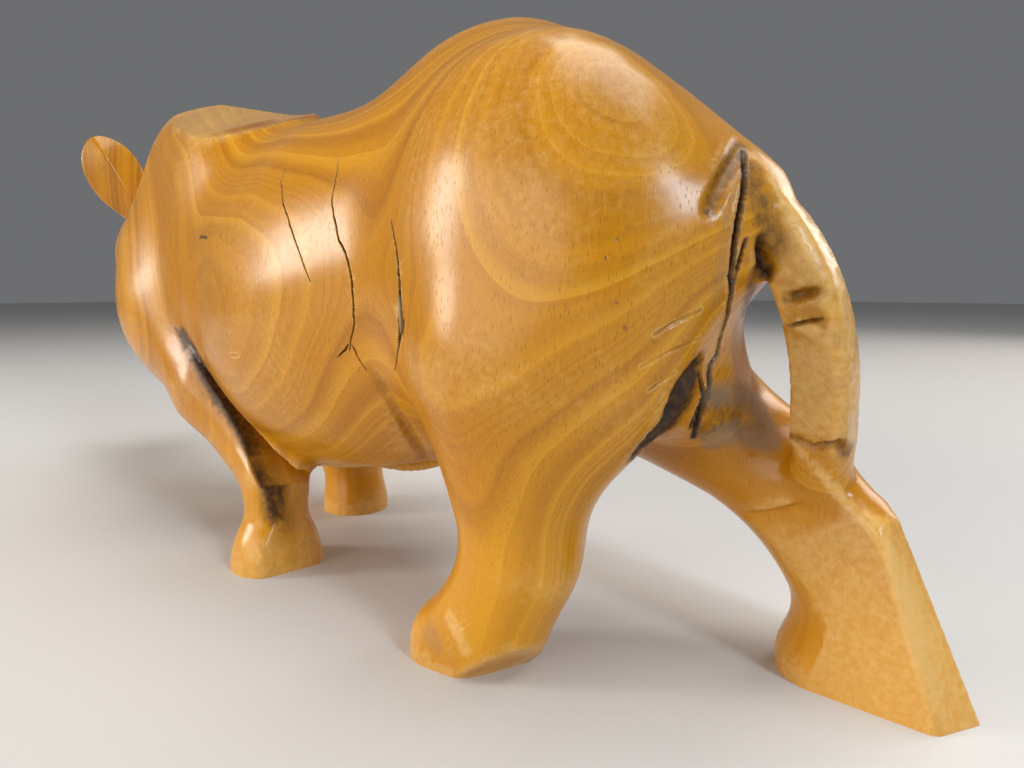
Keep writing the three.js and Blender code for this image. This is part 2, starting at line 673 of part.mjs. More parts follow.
const pegs = {
  left_ear: ear(1),
  right_ear: ear(-1),
  front_horn: horn(FRONT_HORN),
  rear_horn: horn(REAR_HORN),
  left_eye: eyePiece(1),
  right_eye: eyePiece(-1),
};
const { slot, filler } = flankCheck(block);
const bores = Object.values(pegs).map(({ socket }) => socket);
const carvedBody = [slot, ...bores].reduce((wood, bore) => wood.subtract(bore), block);

const honeyWood = new THREE.MeshStandardMaterial({ color: 0xb57a22, roughness: 0.4 });
const darkWood = new THREE.MeshStandardMaterial({ color: 0x2a1a10, roughness: 0.3 });
const putty = new THREE.MeshStandardMaterial({ color: 0x9c8460, roughness: 0.8 });

const rhinoceros = new THREE.Group();
function addNode(name, solid, material) {
  const mesh = new THREE.Mesh(toGeometry(solid), material);
  mesh.name = name;
  rhinoceros.add(mesh);
}
addNode("carved_body", carvedBody, honeyWood);
for (const [name, { solid }] of Object.entries(pegs)) {
  addNode(name, solid, name.endsWith("eye") ? darkWood : honeyWood);
}
addNode("check_filler", filler, putty);

// The origin goes to the ground below the middle of the figure
const middle = new THREE.Box3().setFromObject(rhinoceros).getCenter(new THREE.Vector3());
rhinoceros.position.set(-middle.x, -middle.y, 0);

export default rhinoceros;
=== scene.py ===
# Looks of a carved wooden rhinoceros: one block of honey-coloured wood, with pegged ears, horns and eyes.
import json
import math
import random
from typing import NamedTuple

import bmesh
import bpy
import numpy as np
from mathutils import Matrix, Vector
from mathutils import noise as lattice
from mathutils.bvhtree import BVHTree
from mathutils.kdtree import KDTree


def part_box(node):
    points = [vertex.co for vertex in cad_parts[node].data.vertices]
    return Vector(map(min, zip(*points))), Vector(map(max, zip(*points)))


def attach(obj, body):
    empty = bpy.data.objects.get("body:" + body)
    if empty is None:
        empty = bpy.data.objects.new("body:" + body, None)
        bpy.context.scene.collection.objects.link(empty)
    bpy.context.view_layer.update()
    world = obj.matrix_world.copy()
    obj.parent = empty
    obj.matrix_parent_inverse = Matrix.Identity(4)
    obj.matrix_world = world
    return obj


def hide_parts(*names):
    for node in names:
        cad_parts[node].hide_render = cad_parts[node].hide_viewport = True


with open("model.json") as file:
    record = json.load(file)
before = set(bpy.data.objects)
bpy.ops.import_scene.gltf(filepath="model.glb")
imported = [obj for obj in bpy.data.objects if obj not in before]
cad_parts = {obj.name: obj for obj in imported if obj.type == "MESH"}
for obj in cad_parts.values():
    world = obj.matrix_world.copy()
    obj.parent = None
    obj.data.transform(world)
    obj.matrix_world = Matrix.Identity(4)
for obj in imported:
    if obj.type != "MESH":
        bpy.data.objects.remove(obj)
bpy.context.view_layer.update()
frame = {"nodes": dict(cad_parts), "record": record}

BODY = "root"
MM = 0.001

# Places are in millimetres from the root of the tail, on the midline, at ground level.
# The left hind sole ties that point to the frame.
LEFT_HIND_SOLE = Vector((29, 18, 0))
SOLE_IN_FRAME = next(m["pos_m"] for m in frame["record"]["mounts"] if m["name"] == "left_hind_sole")
ROOT = Vector(SOLE_IN_FRAME) - LEFT_HIND_SOLE * MM

# Camera at the photograph's place: heading from +X, pitch below the horizon, lens in pixels
CAMERA_PLACE = Vector((-54, 97.4, 60))
CAMERA_HEADING = math.radians(-46.99)
CAMERA_PITCH = math.radians(7.5)
LENS_PIXELS = 740
IMAGE_WIDTH = 1024
IMAGE_HEIGHT = 768
SENSOR_WIDTH = 36
NEAREST_SEEN = 0.005

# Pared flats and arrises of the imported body, which stay crisp
FLAT_TURN = math.radians(0.6)
LEAST_FLAT_AREA = 55
FLAT_EDGE_TURN = math.radians(12)
TAIL_LOW = Vector((-30, -25, 30))
TAIL_HIGH = Vector((2, 10, 82))
TAIL_ARRIS_TURN = math.radians(32)
SOLE_EDGE_HEIGHT = 0.1
SOLE_DROP = 3
ON_GROUND = 0.01
WELD_DISTANCE = 0.001

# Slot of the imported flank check, around the middle of its filler, and the whole skin beside it
SLOT_HALF_WIDTH = 1.6
SLOT_HALF_HEIGHT = 18
SLOT_INNERMOST_Y = 10
SLOT_WALL_DEPTH = 0.8
BESIDE_SLOT = 2.2
OUTSIDE_Y = 60

# Fineness of the carved surface: smoothing fades out near crisp edges
VOXEL = 0.55
SMOOTH_PASSES = 16
SMOOTH_PUSHES = (0.55, -0.57)
LEAST_SMOOTHING = 0.06
EDGE_SPACING = 0.4
EDGE_CORE = 0.2
CRISP_REACH = 2.4
FAIRED_EDGE_CORE = 0.6
FAIRED_RAMP = 1.4
COARSE_TRIANGLES = 90_000
SHARP_TURN = math.radians(55)

# Steps along the paths of cuts and marks, and how far the mesh is kept or made fine around them
COARSE_STEP = 0.6
FINE_STEP = 0.4
MARK_STEP = 1.0
KEPT_REACH = 1.6
STROKE_FINE_REACH = 0.9
STROKE_FINE_CUTS = 1
CHECK_FINE_REACH = 0.6
CHECK_FINE_CUTS = 3

# Cross-sections: furrows in half widths, checks in millimetres, and scales of noise per millimetre
FURROW_REACH = 1.7
LIP_PLACE = 1.15
LIP_WIDTH = 0.22
GRIT_SCALE = 1.1
HAIRLINE_HALF_WIDTH = 0.09
CHECK_UNEVENNESS = 0.35
CHECK_UNEVEN_SCALE = 0.55
WANDER_SCALE = 0.45

random.seed(11)


class Stroke(NamedTuple):
    """A furrow along pixels of the photograph, in millimetres, and the marks that it leaves there."""
    pixels: list
    half_width: float
    depth: float
    lip: float = 0.0
    rough: float = 0.0
    # darkening in the furrow: painted shade, with some real stain
    stain_and_shade: float = 0.0
    grime: float = 0.0
    wear_and_highlight: float = 0.0


class Check(NamedTuple):
    """A drying check along pixels of the photograph, widest at a share of its length."""
    pixels: list
    width: float
    depth: float
    swell: float
    wander: float


class Mark(NamedTuple):
    """A change of finish, painted shade or painted highlight around pixels of the photograph, where the wood
    faces a direction.
    """
    kind: str
    pixels: list
    reach: float
    amount: float
    facing: tuple = (0, 0, 0)


class Faired(NamedTuple):
    """A place around a pixel of the photograph that is drawn smooth, and whether pared edges there stay."""
    pixel: tuple
    radius: float
    passes: int
    keeps_edges: bool = True


FAIRED = [
    # chest, side below the withers, foot of the tail
    Faired((138, 330), 22, 260),
    Faired((240, 172), 15, 220),
    Faired((825, 482), 7.5, 160, keeps_edges=False),
]

# Each stroke's stain share darkens its furrow with painted shade, with some real stain.
COARSE_STROKES = [
    # recess under the buttock, where the tail strap leaves the leg, darkened with painted shade
    Stroke([(640, 452), (670, 418), (681, 390), (695, 368)], 2.4, 3.2, rough=0.25, stain_and_shade=1.0),
    # slot that opens into the hole beside the tail, darkened with painted shade
    Stroke([(762, 240), (764, 258), (764, 276)], 1.3, 2.6, stain_and_shade=0.9),
    # leaf-shaped gouge at the root of the tail
    Stroke([(741, 143), (722, 180), (709, 210)], 1.45, 1.2, lip=0.12, stain_and_shade=0.55),
    # broad notch across the tail
    Stroke([(787, 299), (802, 295), (816, 291)], 1.0, 1.5, lip=0.15, stain_and_shade=0.5),
    # ledge at the foot of the tail
    Stroke([(792, 437), (814, 448), (838, 443), (846, 456)], 0.8, 0.9, lip=0.2, rough=0.2, stain_and_shade=0.5),
    # crease between the thigh and the belly
    Stroke([(372, 372), (390, 400), (410, 435), (426, 462)], 1.6, 0.8, stain_and_shade=0.25),
]

# Each stroke's stain share darkens its furrow with painted shade, with some real stain.
FINE_STROKES = [
    # crevice between the haunch and the tail, with its lower branches and a short one above them
    Stroke([(744, 150), (744, 187), (742, 200), (738, 219), (734, 244), (730, 276), (731, 290), (727, 315),
            (720, 338), (717, 354), (709, 366)], 0.5, 1.5, lip=0.2, rough=0.15, stain_and_shade=1.0, grime=0.8),
    Stroke([(709, 368), (709, 384), (702, 407), (693, 438)], 0.55, 1.1, lip=0.25, rough=0.2, stain_and_shade=1.0,
           grime=0.8),
    Stroke([(699, 374), (703, 395), (691, 428)], 0.5, 0.9, lip=0.25, rough=0.2, stain_and_shade=0.9),
    Stroke([(746, 240), (739, 262), (733, 285)], 0.4, 1.1, lip=0.1, stain_and_shade=0.9, grime=0.4),
    # thin notch across the tail
    Stroke([(789, 326), (806, 322), (822, 319)], 0.35, 0.8, lip=0.15, stain_and_shade=0.6),
    # scratches on the buttock
    Stroke([(655, 334), (678, 321), (701, 310)], 0.4, 0.32, lip=0.12, stain_and_shade=0.25, wear_and_highlight=0.6),
    Stroke([(642, 366), (671, 351), (700, 338)], 0.35, 0.26, lip=0.1, stain_and_shade=0.15, wear_and_highlight=0.5),
    Stroke([(649, 390), (675, 373)], 0.35, 0.26, lip=0.1, stain_and_shade=0.15, wear_and_highlight=0.6),
    # nicks in the flank and shoulder
    Stroke([(231, 355), (238, 355)], 0.5, 0.25, wear_and_highlight=0.8),
    Stroke([(200, 237), (204, 237), (207, 238)], 0.4, 0.3, stain_and_shade=0.8),
    # pits in the rump
    Stroke([(624, 327), (627, 330)], 0.32, 0.3, stain_and_shade=0.4),
    Stroke([(605, 257), (606, 259)], 0.28, 0.25, stain_and_shade=0.35),
    Stroke([(617, 239), (620, 241)], 0.28, 0.25, stain_and_shade=0.35),
    Stroke([(615, 302), (618, 304)], 0.28, 0.25, stain_and_shade=0.3),
]

BELLY_HAIRLINE = Check(
    [(285, 168), (281, 182), (283, 204), (291, 229), (300, 254), (310, 282)],
    width=0.2, depth=1.4, swell=0.5, wander=0.08)
BELLY_CHECK = Check(
    [(339, 158), (336, 174), (333, 191), (332, 206), (335, 224), (339, 241), (345, 252),
     (349, 268), (352, 286), (353, 304), (354, 322), (352, 336), (349, 350)],
    width=0.42, depth=2.6, swell=0.72, wander=0.16)
BELLY_BRANCHES = [
    Check([(352, 345), (358, 357), (366, 370)], width=0.3, depth=1.2, swell=0.2, wander=0.1),
    Check([(348, 344), (345, 350), (337, 358)], width=0.3, depth=1.2, swell=0.25, wander=0.1),
]
# A little to the right of its line in the photograph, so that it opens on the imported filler
FLANK_CHECK = Check(
    [(391, 220), (395, 241), (398, 263), (399, 281), (400, 299), (401, 313), (400, 334),
     (398, 350), (395, 370)],
    width=0.62, depth=3.2, swell=0.5, wander=0.1)
CHECKS = [BELLY_HAIRLINE, BELLY_CHECK, *BELLY_BRANCHES, FLANK_CHECK]

MARKS = [
    # rough face of the cut behind the left fore leg, darkened with painted shade and some real stain
    Mark("stain_and_shade", [(184, 335), (200, 362), (222, 398), (246, 430), (262, 470), (278, 508)], 5.0, 0.8,
         (-0.9, 0.1, 0)),
    Mark("stain_and_shade", [(182, 334), (196, 359), (216, 392), (240, 426), (258, 462), (268, 486)], 2.5, 0.85),
    Mark("grime", [(180, 330), (190, 348)], 1.2, 0.7),
    # painted shade in the hollow below the buttock and around the hole, with dirt there and along the crevice
    Mark("stain_and_shade", [(650, 442), (666, 428), (678, 410), (688, 385)], 4.2, 0.9),
    Mark("stain_and_shade", [(755, 270), (745, 312), (751, 352), (757, 389)], 1.6, 0.6),
    Mark("stain_and_shade", [(712, 400), (730, 420), (705, 430)], 3.0, 0.5),
    Mark("grime", [(712, 395), (735, 392), (760, 408), (768, 440), (735, 430), (712, 440)], 3.0, 0.8),
    Mark("grime", [(738, 170), (732, 215), (724, 260), (716, 300)], 1.8, 0.35),
    # tail: painted shade on its duller inner facet, painted highlights on its ridge and outer facet, a paler
    # patch by the thin notch, and darker patches
    Mark("dull_and_shade", [(772, 205), (788, 240), (800, 270), (806, 300), (810, 335), (810, 375), (808, 420)],
         3.6, 0.9, (-0.3, 0.95, 0)),
    Mark("wear_and_highlight", [(790, 197), (810, 236), (830, 276), (846, 312), (853, 360)], 2.6, 0.75, (-0.8, -0.2, 0.5)),
    Mark("stain_and_shade", [(752, 170), (757, 195), (765, 222), (775, 245)], 2.4, 0.5),
    Mark("wear_and_highlight", [(742, 146), (765, 167), (782, 198), (803, 244), (822, 272), (836, 290)], 0.8, 0.8),
    Mark("wear_and_highlight", [(800, 325), (815, 332), (828, 340)], 1.2, 0.7),
    Mark("stain_and_shade", [(843, 443), (851, 452)], 1.2, 0.5),
    # painted highlights on the arris and the pale lower facet of the right hind leg
    Mark("wear_and_highlight", [(792, 442), (860, 517), (884, 547), (900, 596), (909, 641), (930, 700)], 1.2, 0.7),
    Mark("wear_and_highlight", [(893, 560), (912, 610), (926, 655), (940, 690)], 3.6, 0.9, (-0.9, 0.2, 0.2)),
    # scuffed toe and rubbed heel of the left hind foot
    Mark("wear_and_highlight", [(449, 616), (458, 634), (465, 652)], 1.6, 0.55),
    Mark("grime", [(428, 632), (434, 640)], 3.0, 0.45),
    Mark("wear_and_highlight", [(495, 673), (512, 667), (530, 658)], 0.9, 0.8),
    # painted shade: darker, redder colour on the cut across the withers
    Mark("ruddy_shade", [(190, 120), (220, 124), (260, 122), (300, 116), (335, 108)], 11, 1.0, (0, 0, 1)),
]

# Scratches on the left hind toe: the crest that they cross, their reach and stray in pixels, and their slope
TOE_SCUFF = [(449, 614), (456, 630), (466, 655)]
SCUFF_COUNT = 22
SCUFF_REACH = (6, 18)
SCUFF_SLOPE = (-0.9, -0.2)
SCUFF_STRAY = (-3, 3)


def to_mm(point):
    return (Vector(point) - ROOT) / MM


def camera_axes():
    """Forward, right and up of the camera."""
    turn, dip = CAMERA_HEADING, CAMERA_PITCH
    forward = Vector((math.cos(turn) * math.cos(dip), math.sin(turn) * math.cos(dip), -math.sin(dip)))
    right = Vector((math.sin(turn), -math.cos(turn), 0))
    return forward, right, right.cross(forward)


def add_camera():
    forward, right, up = camera_axes()
    lens = bpy.data.cameras.new("camera")
    lens.sensor_width = SENSOR_WIDTH
    lens.lens = LENS_PIXELS / IMAGE_WIDTH * SENSOR_WIDTH
    lens.clip_start = NEAREST_SEEN
    camera = bpy.data.objects.new("camera", lens)
    turned = Matrix((right, up, -forward)).transposed().to_4x4()
    camera.matrix_world = Matrix.Translation(ROOT + CAMERA_PLACE * MM) @ turned
    bpy.context.scene.collection.objects.link(camera)
    bpy.context.scene.camera = camera


def pixel_ray(pixel):
    """Direction from the camera through a pixel of the photograph."""
    forward, right, up = camera_axes()
    across = (pixel[0] - IMAGE_WIDTH / 2) / LENS_PIXELS
    above = (IMAGE_HEIGHT / 2 - pixel[1]) / LENS_PIXELS
    return (forward + right * across + up * above).normalized()


# Meshes

def new_piece(name, mesh):
    piece = bpy.data.objects.new(name, mesh)
    bpy.context.scene.collection.objects.link(piece)
    return piece


def apply_modifiers(piece):
    """The piece keeps its shown shape as a plain mesh."""
    shown = piece.evaluated_get(bpy.context.evaluated_depsgraph_get())
    mesh = bpy.data.meshes.new_from_object(shown)
    piece.modifiers.clear()
    piece.data = mesh


def modify(piece, kind, **settings):
    modifier = piece.modifiers.new(kind.lower(), kind)
    for name, value in settings.items():
        setattr(modifier, name, value)
    apply_modifiers(piece)


def shape_of(mesh):
    shape = bmesh.new()
    shape.from_mesh(mesh)
    return shape


def write_shape(shape, mesh):
    shape.to_mesh(mesh)
    shape.free()


def welded_copy(node_name):
    """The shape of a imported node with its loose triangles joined, and an empty mesh for it."""
    shape = shape_of(frame["nodes"][node_name].data)
    bmesh.ops.remove_doubles(shape, verts=shape.verts, dist=WELD_DISTANCE * MM)
    return shape, bpy.data.meshes.new(node_name)


def pair_triangles(shape, turn, skew):
    """Joins triangles into quads, within some degrees of turn and skew."""
    bmesh.ops.join_triangles(shape, faces=shape.faces, angle_face_threshold=math.radians(turn),
                             angle_shape_threshold=math.radians(skew))


def flat_patches(shape, same_angle, least_area):
    """Faces in flat patches larger than an area, each face with its patch's number."""
    patch_of = {}
    areas = []
    for seed in shape.faces:
        if seed in patch_of:
            continue
        number = len(areas)
        patch_of[seed] = number
        area = 0
        queue = [seed]
        while queue:
            face = queue.pop()
            area += face.calc_area()
            for edge in face.edges:
                for other in edge.link_faces:
                    if other not in patch_of and other.normal.angle(seed.normal, math.pi) < same_angle:
                        patch_of[other] = number
                        queue.append(other)
        areas.append(area)
    return {face: number for face, number in patch_of.items() if areas[number] > least_area}


def crisp_edges(shape):
    """Edges where a pared flat ends, and the arrises of the tail. The soles' edges are cut later."""
    patches = flat_patches(shape, FLAT_TURN, LEAST_FLAT_AREA * MM ** 2)
    crisp = []
    for edge in shape.edges:
        middle = to_mm((edge.verts[0].co + edge.verts[1].co) / 2)
        if middle.z < SOLE_EDGE_HEIGHT:
            continue
        numbers = {patches.get(face, -1) for face in edge.link_faces}
        on_patch = len(numbers) > 1 and edge.calc_face_angle(0) > FLAT_EDGE_TURN
        in_tail = all(low < c < high for low, c, high in zip(TAIL_LOW, middle, TAIL_HIGH))
        on_tail = in_tail and edge.calc_face_angle_signed(0) > TAIL_ARRIS_TURN
        if on_patch or on_tail:
            crisp.append(edge)
    return crisp


def points_along(edges, step):
    points = []
    for edge in edges:
        a, b = (v.co for v in edge.verts)
        count = max(1, round((b - a).length / step))
        points += [a.lerp(b, i / count) for i in range(count + 1)]
    return points


def lower_soles(shape):
    """Carries the feet on below the ground, so that a cut there leaves clean soles."""
    soles = [f for f in shape.faces if all(abs(v.co.z) < ON_GROUND * MM for v in f.verts)]
    made = bmesh.ops.extrude_face_region(shape, geom=soles)["geom"]
    lowered = [g for g in made if isinstance(g, bmesh.types.BMVert)]
    bmesh.ops.translate(shape, verts=lowered, vec=(0, 0, -SOLE_DROP * MM))
    left = [f for f in soles if f.is_valid]
    bmesh.ops.delete(shape, geom=left, context="FACES")


def close_flank_slot(shape):
    """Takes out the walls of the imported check, which FLANK_CHECK opens again more finely."""
    low, high = (to_mm(corner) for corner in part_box("check_filler"))
    middle = (low + high) / 2
    outside = BVHTree.FromBMesh(shape)
    walls = []
    for face in shape.faces:
        centre = to_mm(face.calc_center_median())
        across, up = abs(centre.x - middle.x), abs(centre.z - middle.z)
        if across > SLOT_HALF_WIDTH or up > SLOT_HALF_HEIGHT or centre.y < SLOT_INNERMOST_Y:
            continue
        start = ROOT + Vector((middle.x + BESIDE_SLOT, OUTSIDE_Y, centre.z)) * MM
        skin_point = outside.ray_cast(start, Vector((0, -1, 0)))[0]
        if skin_point and to_mm(skin_point).y - centre.y > SLOT_WALL_DEPTH:
            walls.append(face)
    bmesh.ops.delete(shape, geom=walls, context="FACES")
    rim = [e for e in shape.edges if e.is_boundary]
    bmesh.ops.holes_fill(shape, edges=rim, sides=0)
    bmesh.ops.triangulate(shape, faces=[f for f in shape.faces if len(f.verts) > 4])


def mean_over_edges(edges, values):
    """For each vertex, the mean of the values at the other ends of its edges."""
    a, b = edges.T
    count = len(values)
    degree = np.bincount(a, minlength=count) + np.bincount(b, minlength=count)
    columns = [np.bincount(a, values[b, c], count) + np.bincount(b, values[a, c], count)
               for c in range(values.shape[1])]
    return np.stack(columns, 1) / np.maximum(degree, 1)[:, None]


class Skin:
    """The carved surface as arrays in millimetres, worked by strokes and written back to its mesh."""

    def __init__(self, mesh):
        self.mesh = mesh
        count = len(mesh.vertices)
        flat = np.empty(count * 3)
        mesh.vertices.foreach_get("co", flat)
        self.co = (flat.reshape(-1, 3) - np.array(ROOT)) / MM
        pairs = np.empty(len(mesh.edges) * 2, np.int64)
        mesh.edges.foreach_get("vertices", pairs)
        self.edges = pairs.reshape(-1, 2)
        self.refresh()

    def refresh(self):
        """Writes the vertices to the mesh and reads its normals."""
        self.mesh.vertices.foreach_set("co", (self.co * MM + np.array(ROOT)).ravel())
        self.mesh.update()
        normals = np.empty(len(self.co) * 3)
        self.mesh.vertex_normals.foreach_get("vector", normals)
        self.normal = normals.reshape(-1, 3)

    def smooth(self, passes, weight):
        """Evens the surface without shrinking it, where the weight lets it."""
        for _ in range(passes):
            for push in SMOOTH_PUSHES:
                self.co += push * weight[:, None] * (mean_over_edges(self.edges, self.co) - self.co)
        self.refresh()

    def near(self, path, reach):
        """Vertices within reach of a path: their numbers, distances, and shares of the way along it."""
        path = np.asarray([tuple(point) for point, _ in path])
        low, high = path.min(0) - reach, path.max(0) + reach
        picked = np.flatnonzero(np.all((self.co > low) & (self.co < high), 1))
        points = self.co[picked]
        best = np.full(len(points), np.inf)
        share = np.zeros(len(points))
        steps = max(len(path) - 1, 1)
        for i in range(steps):
            a, b = path[i], path[min(i + 1, len(path) - 1)]
            along = b - a
            t = np.clip(((points - a) @ along) / max(along @ along, 1e-9), 0, 1)
            distance = np.linalg.norm(points - a - t[:, None] * along, axis=1)
            closer = distance < best
            best[closer] = distance[closer]
            share[closer] = (i + t[closer]) / steps
        inside = best < reach
        return picked[inside], best[inside], share[inside]

    def beside(self, path, reach, depth):
        """Vertices beside or below a path: their numbers, distances across it, and heights above it."""
        picked, distance, share = self.near(path, math.hypot(reach, depth))
        step = np.round(share * (len(path) - 1)).astype(int)
        places = np.array([tuple(point) for point, _ in path])[step]
        normals = np.array([tuple(normal) for _, normal in path])[step]
        height = ((self.co[picked] - places) * normals).sum(1)
        across = np.sqrt(np.maximum(distance ** 2 - height ** 2, 0))
        inside = across < reach
        return picked[inside], across[inside], height[inside]

    def fair(self, weight, passes):
        """Draws the surface level where the weight lets it, as sanding does."""
        edges = self.edges[(weight[self.edges] > 0).any(1)]
        members, local = np.unique(edges, return_inverse=True)
        local_edges = local.reshape(-1, 2)
        share = 0.5 * weight[members, None]
        place = self.co[members]
        for _ in range(passes):
            place += share * (mean_over_edges(local_edges, place) - place)
        self.co[members] = place
        self.refresh()

    def groove(self, path, stroke):
        """A rounded furrow along a path, running out at its ends, with a raised lip beside it."""
        picked, distance, share = self.near(path, stroke.half_width * FURROW_REACH)
        across = distance / stroke.half_width
        run_out = np.sin(np.pi * np.clip(share, 0.03, 0.97)) ** 0.6
        cut = np.where(across < 1, (1 - np.minimum(across, 1) ** 2) ** 1.5, 0) * stroke.depth
        ridge = np.exp(-((across - LIP_PLACE) / LIP_WIDTH) ** 2) * stroke.lip
        change = (cut - ridge) * run_out
        if stroke.rough:
            grit = np.array([lattice.noise(Vector(p) * GRIT_SCALE) for p in self.co[picked]])
            change += grit * stroke.rough * np.clip(FURROW_REACH - across, 0, 1)
        self.co[picked] -= change[:, None] * self.normal[picked]

    def split(self, path, check):
        """A drying check along a path: a steep cut, widest at a share of its length and fine at its ends."""
        picked, distance, share = self.near(path, check.width)
        fullness = np.minimum(share / check.swell, (1 - share) / (1 - check.swell))
        uneven = np.array([1 + CHECK_UNEVENNESS * lattice.noise(Vector(p) * CHECK_UNEVEN_SCALE)
                           for p in self.co[picked]])
        half = np.maximum(check.width / 2 * fullness ** 0.6 * uneven, HAIRLINE_HALF_WIDTH)
        cut = np.clip(1.25 - distance / half, 0, 1) * check.depth * np.clip(fullness * 1.5, 0.15, 1)
        self.co[picked] -= cut[:, None] * self.normal[picked]

    def curvature(self, passes):
        """How far each vertex stands proud of its neighbours, in millimetres, evened over some passes."""
        proud = ((self.co - mean_over_edges(self.edges, self.co)) * self.normal).sum(1)[:, None]
        for _ in range(passes):
            proud = mean_over_edges(self.edges, proud)
        return proud[:, 0]


class Surface:
    """Finds points on a piece's surface, in millimetres."""

    def __init__(self, mesh):
        mesh.calc_loop_triangles()
        points = [to_mm(v.co) for v in mesh.vertices]
        self.tree = BVHTree.FromPolygons(points, [t.vertices for t in mesh.loop_triangles])

    def under_pixel(self, pixel):
        """Point and normal of the wood under a pixel, or nothing beside the wood."""
        point, normal, _, _ = self.tree.ray_cast(CAMERA_PLACE, pixel_ray(pixel))
        return (point, normal) if point else None

    def path(self, pixels, step):
        """Points and normals under a line of pixels, about a step apart, without leaps in depth."""
        corners = [pixel for pixel in pixels if self.under_pixel(pixel)]
        found = [self.under_pixel(corners[0])]
        for a, b in zip(corners, corners[1:]):
            span = (self.under_pixel(b)[0] - self.under_pixel(a)[0]).length
            count = max(1, round(span / step))
            for i in range(1, count + 1):
                share = i / count
                hit = self.under_pixel((a[0] + (b[0] - a[0]) * share, a[1] + (b[1] - a[1]) * share))
                if hit and (hit[0] - found[-1][0]).length < step * 4:
                    found.append(hit)
        return found


def point_tree(points):
    tree = KDTree(len(points))
    for i, point in enumerate(points):
        tree.insert(point, i)
    tree.balance()
    return tree


def body_mesh():
    """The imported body, refined: smooth masses and crisp ends of the pared flats, on feet still too long."""
    shape, mesh = welded_copy("carved_body")
    crease = shape.edges.layers.float.new("crease_edge")
    close_flank_slot(shape)
    crisp = crisp_edges(shape)
    edge_points = points_along(crisp, EDGE_SPACING * MM)
    for edge in crisp:
        edge[crease] = 1.0
    lower_soles(shape)
    pair_triangles(shape, 40, 60)
    write_shape(shape, mesh)
    piece = new_piece("carved_body_wood", mesh)
    modify(piece, "SUBSURF", levels=2, render_levels=2)
    form = Surface(piece.data)
    modify(piece, "REMESH", mode="VOXEL", voxel_size=VOXEL * MM)
    skin = Skin(piece.data)
    tree = point_tree([to_mm(p) for p in edge_points])
    distance = np.array([tree.find(p)[2] for p in skin.co])
    weight = np.clip((distance - EDGE_CORE) / CRISP_REACH, LEAST_SMOOTHING, 1)
    skin.smooth(SMOOTH_PASSES, weight)
    for i in np.flatnonzero(distance < CRISP_REACH):
        exact = form.tree.find_nearest(skin.co[i])[0]
        skin.co[i] += (1 - weight[i]) * (np.array(exact) - skin.co[i])
    skin.refresh()
    for area in FAIRED:
        middle = np.array(form.under_pixel(area.pixel)[0])
        away = np.linalg.norm(skin.co - middle, axis=1) / area.radius
        weight = np.clip(FAIRED_RAMP * (1 - away), 0, 1)
        if area.keeps_edges:
            weight *= np.clip((distance - FAIRED_EDGE_CORE) / CRISP_REACH, 0, 1)
        skin.fair(weight, area.passes)
    return piece, skin


def trim_soles(piece):
    """Cuts the feet level with the ground."""
    shape = shape_of(piece.data)
    everything = [*shape.verts, *shape.edges, *shape.faces]
    made = bmesh.ops.bisect_plane(shape, geom=everything, plane_co=(0, 0, 0), plane_no=(0, 0, 1),
                                  clear_inner=True)
    rim = [g for g in made["geom_cut"] if isinstance(g, bmesh.types.BMEdge)]
    bmesh.ops.holes_fill(shape, edges=rim, sides=0)
    bmesh.ops.triangulate(shape, faces=shape.faces)
    write_shape(shape, piece.data)


def thin_out(piece, kept_paths, reach):
    """Takes triangles out of the mesh, but none near the paths that fine cuts follow."""
    skin = Skin(piece.data)
    loose = np.ones(len(skin.co), bool)
    for path in kept_paths:
        loose[skin.near(path, reach)[0]] = False
    group = piece.vertex_groups.new(name="loose")
    group.add(np.flatnonzero(loose).tolist(), 1.0, "REPLACE")
    modify(piece, "DECIMATE", ratio=COARSE_TRIANGLES / len(piece.data.polygons), vertex_group="loose")
    piece.vertex_groups.clear()


def refine_near(piece, paths, reach, cuts):
    """Splits the triangles near some paths into a finer grid."""
    shape = shape_of(piece.data)
    tree = point_tree([point for path in paths for point, _ in path])
    close = [f for f in shape.faces if tree.find(to_mm(f.calc_center_median()))[2] < reach]
    edges = list(dict.fromkeys(edge for face in close for edge in face.edges))
    bmesh.ops.subdivide_edges(shape, edges=edges, cuts=cuts, use_grid_fill=True)
    bmesh.ops.triangulate(shape, faces=[f for f in shape.faces if len(f.verts) > 3])
    write_shape(shape, piece.data)


def wandering(path, amount):
    """A path that strays smoothly to either side, as wood splits."""
    last = len(path) - 1
    strayed = []
    for i, (point, normal) in enumerate(path):
        ahead = path[min(i + 1, last)][0] - path[max(i - 1, 0)][0]
        side = normal.cross(ahead).normalized()
        strayed.append((point + side * amount * 2 * lattice.noise(point * WANDER_SCALE), normal))
    return strayed


def sharpen(mesh, angle):
    """Shades the mesh smooth, apart from edges that turn by more than an angle."""
    shape = shape_of(mesh)
    for face in shape.faces:
        face.smooth = True
    for edge in shape.edges:
        edge.smooth = edge.calc_face_angle(0) < angle
    write_shape(shape, mesh)


# Materials

HONEY_DARK = (0.37, 0.132, 0.001, 1)
HONEY_MID = (0.53, 0.218, 0.003, 1)
# painted light: paler wood towards the feet
HONEY_FOOT_LIT = (0.74, 0.325, 0.006, 1)
HONEY_PALE = (0.72, 0.365, 0.022, 1)
HONEY_RED = (0.40, 0.130, 0.002, 1)
# painted shade on the cut across the withers
RUDDY_SHADE = (0.30, 0.095, 0.004, 1)
# painted shade on the tail's duller inner facet
OLIVE_DULL_SHADE = (0.36, 0.165, 0.012, 1)
PORE_BROWN = (0.20, 0.070, 0.006, 1)
# dark of stains and of painted shade in hollows, furrows and checks
STAIN_AND_SHADE_DARK = (0.030, 0.011, 0.004, 1)
GRIME_GREY = (0.20, 0.155, 0.110, 1)
